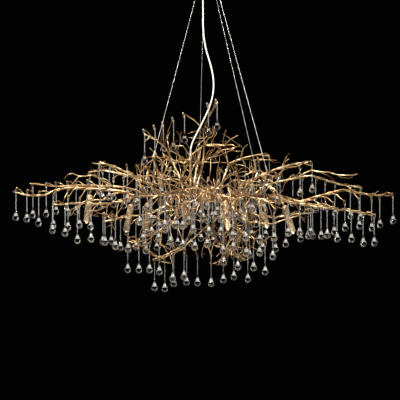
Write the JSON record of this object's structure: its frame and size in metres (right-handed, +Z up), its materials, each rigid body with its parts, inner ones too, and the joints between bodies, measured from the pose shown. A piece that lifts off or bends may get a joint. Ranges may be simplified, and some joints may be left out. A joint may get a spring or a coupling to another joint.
{
  "type": "branch chandelier",
  "caption": "Long oval hanging light of bronze branches with clear glass drops on hooks and slanted lamp tubes.",
  "frame": {"origin": "middle of the ceiling plate's upper face, between its two fixing holes", "axes": "+Z up, +X along the length of the branchwork, to the right as pictured, -Y to the front"},
  "size_m": [1.6025, 0.7266, 1.3179],
  "materials": {
    "bronze": "brushed, patinated",
    "hook_metal": "satin",
    "steel": "brushed",
    "canopy_metal": "brushed",
    "pale_plastic": "matte",
    "cord_sheath": "soft gloss",
    "socket_ceramic": "glazed",
    "capsule_glass": "frosted",
    "drop_glass": "polished"
  },
  "bodies": {
    "fixture": {"cable_ferrules": "steel", "cable_grips": "steel", "canopy_cup": "canopy_metal", "canopy_screws": "steel", "ceiling_plate": "steel", "centre_cable": "steel", "centre_rod": "steel", "cord_grip": "pale_plastic", "cross_boughs": "bronze", "cross_twigs": "bronze", "crown_boughs": "bronze", "crown_twigs": "bronze", "drop_hooks": "hook_metal", "finial": "bronze", "hanger_arms": "bronze", "junction_box": "canopy_metal", "junction_lid": "canopy_metal", "lamp_arms": "bronze", "lamp_capsules": "capsule_glass", "lamp_sleeves": "bronze", "lamp_sockets": "socket_ceramic", "lamp_wire_block": "pale_plastic", "left_boughs": "bronze", "left_cable": "steel", "left_twigs": "bronze", "long_boughs": "bronze", "lower_boughs": "bronze", "lower_twigs": "bronze", "mains_block": "pale_plastic", "power_cord": "cord_sheath", "right_boughs": "bronze", "right_front_cable": "steel", "right_rear_cable": "steel", "right_twigs": "bronze", "riser": "bronze", "riser_gland": "pale_plastic", "spine_tubes": "bronze"},
    "crown_left_drops": {"crown_left_drops": "drop_glass"},
    "crown_right_drops": {"crown_right_drops": "drop_glass"},
    "far_left_drops": {"far_left_drops": "drop_glass"},
    "far_right_drops": {"far_right_drops": "drop_glass"},
    "front_drops": {"front_drops": "drop_glass"},
    "front_left_drops": {"front_left_drops": "drop_glass"},
    "front_right_drops": {"front_right_drops": "drop_glass"},
    "heart_drops": {"heart_drops": "drop_glass"},
    "inner_front_drops": {"inner_front_drops": "drop_glass"},
    "inner_rear_drops": {"inner_rear_drops": "drop_glass"},
    "low_front_drops": {"low_front_drops": "drop_glass"},
    "low_left_drops": {"low_left_drops": "drop_glass"},
    "low_rear_drops": {"low_rear_drops": "drop_glass"},
    "lower_left_drops": {"lower_left_drops": "drop_glass"},
    "lower_right_drops": {"lower_right_drops": "drop_glass"},
    "lowest_drops": {"lowest_drops": "drop_glass"},
    "rear_drops": {"rear_drops": "drop_glass"},
    "rear_left_drops": {"rear_left_drops": "drop_glass"},
    "rear_right_drops": {"rear_right_drops": "drop_glass"},
    "top_drops": {"top_drops": "drop_glass"},
    "under_right_drops": {"under_right_drops": "drop_glass"},
    "upper_left_drops": {"upper_left_drops": "drop_glass"},
    "upper_right_drops": {"upper_right_drops": "drop_glass"}
  },
  "joints": [
    {"name": "far_left_swing", "type": "hinge", "parent": "fixture", "child": "far_left_drops", "pos_m": [-0.8, -0.034, -0.893], "axis": [0.9884, -0.0479, -0.1438], "range_deg": [-15, 15]},
    {"name": "rear_left_swing", "type": "hinge", "parent": "fixture", "child": "rear_left_drops", "pos_m": [-0.744, 0.092, -0.877], "axis": [0.9957, 0.0449, 0.0807], "range_deg": [-15, 15]},
    {"name": "upper_left_swing", "type": "hinge", "parent": "fixture", "child": "upper_left_drops", "pos_m": [-0.508, 0.204, -0.823], "axis": [0.9755, -0.0484, 0.2145], "range_deg": [-15, 15]},
    {"name": "crown_left_swing", "type": "hinge", "parent": "fixture", "child": "crown_left_drops", "pos_m": [-0.44, -0.146, -0.785], "axis": [0.9445, 0.0297, -0.3272], "range_deg": [-15, 15]},
    {"name": "front_left_swing", "type": "hinge", "parent": "fixture", "child": "front_left_drops", "pos_m": [-0.616, -0.206, -0.951], "axis": [0.976, 0.0191, -0.2169], "range_deg": [-15, 15]},
    {"name": "low_left_swing", "type": "hinge", "parent": "fixture", "child": "low_left_drops", "pos_m": [-0.44, 0.026, -0.995], "axis": [0.9777, -0.0202, -0.209], "range_deg": [-15, 15]},
    {"name": "lower_left_swing", "type": "hinge", "parent": "fixture", "child": "lower_left_drops", "pos_m": [-0.326, -0.122, -1.095], "axis": [0.9808, 0.0162, -0.1945], "range_deg": [-15, 15]},
    {"name": "lowest_swing", "type": "hinge", "parent": "fixture", "child": "lowest_drops", "pos_m": [-0.23, 0.082, -1.197], "axis": [0.9935, 0.0242, 0.1115], "range_deg": [-15, 15]},
    {"name": "lower_right_swing", "type": "hinge", "parent": "fixture", "child": "lower_right_drops", "pos_m": [0.07, -0.13, -1.083], "axis": [0.9837, -0.0463, -0.1736], "range_deg": [-15, 15]},
    {"name": "under_right_swing", "type": "hinge", "parent": "fixture", "child": "under_right_drops", "pos_m": [0.46, 0.04, -0.979], "axis": [-0.9719, -0.0342, -0.2327], "range_deg": [-15, 15]},
    {"name": "far_right_swing", "type": "hinge", "parent": "fixture", "child": "far_right_drops", "pos_m": [0.782, -0.042, -0.915], "axis": [-0.9881, -0.0386, -0.149], "range_deg": [-15, 15]},
    {"name": "rear_right_swing", "type": "hinge", "parent": "fixture", "child": "rear_right_drops", "pos_m": [0.664, 0.106, -0.889], "axis": [-0.9827, 0.0286, 0.1828], "range_deg": [-15, 15]},
    {"name": "front_right_swing", "type": "hinge", "parent": "fixture", "child": "front_right_drops", "pos_m": [0.674, -0.2, -1.001], "axis": [-0.9866, 0.0287, 0.1606], "range_deg": [-15, 15]},
    {"name": "upper_right_swing", "type": "hinge", "parent": "fixture", "child": "upper_right_drops", "pos_m": [0.434, -0.134, -0.785], "axis": [-0.953, 0.0074, -0.3029], "range_deg": [-15, 15]},
    {"name": "crown_right_swing", "type": "hinge", "parent": "fixture", "child": "crown_right_drops", "pos_m": [0.276, 0.142, -0.745], "axis": [-0.9469, -0.0964, -0.3069], "range_deg": [-15, 15]},
    {"name": "top_swing", "type": "hinge", "parent": "fixture", "child": "top_drops", "pos_m": [0.052, -0.044, -0.523], "axis": [-0.9019, 0.2527, -0.3504], "range_deg": [-15, 15]},
    {"name": "front_swing", "type": "hinge", "parent": "fixture", "child": "front_drops", "pos_m": [-0.258, -0.35, -0.897], "axis": [0.9886, 0, -0.1504], "range_deg": [-15, 15]},
    {"name": "inner_front_swing", "type": "hinge", "parent": "fixture", "child": "inner_front_drops", "pos_m": [-0.218, -0.216, -0.941], "axis": [0.9827, 0, 0.1853], "range_deg": [-15, 15]},
    {"name": "rear_swing", "type": "hinge", "parent": "fixture", "child": "rear_drops", "pos_m": [-0.266, 0.35, -0.959], "axis": [0.9874, 0, 0.1584], "range_deg": [-15, 15]},
    {"name": "inner_rear_swing", "type": "hinge", "parent": "fixture", "child": "inner_rear_drops", "pos_m": [-0.226, 0.22, -0.845], "axis": [0.9833, 0, -0.1819], "range_deg": [-15, 15]},
    {"name": "heart_swing", "type": "hinge", "parent": "fixture", "child": "heart_drops", "pos_m": [-0.19, -0.084, -0.797], "axis": [0.9661, 0.0341, -0.2557], "range_deg": [-15, 15]},
    {"name": "low_front_swing", "type": "hinge", "parent": "fixture", "child": "low_front_drops", "pos_m": [-0.25, -0.278, -0.973], "axis": [0.9927, 0.0078, -0.1202], "range_deg": [-15, 15]},
    {"name": "low_rear_swing", "type": "hinge", "parent": "fixture", "child": "low_rear_drops", "pos_m": [-0.27, 0.276, -1.029], "axis": [0.9934, 0.0037, 0.1145], "range_deg": [-15, 15]}
  ]
}
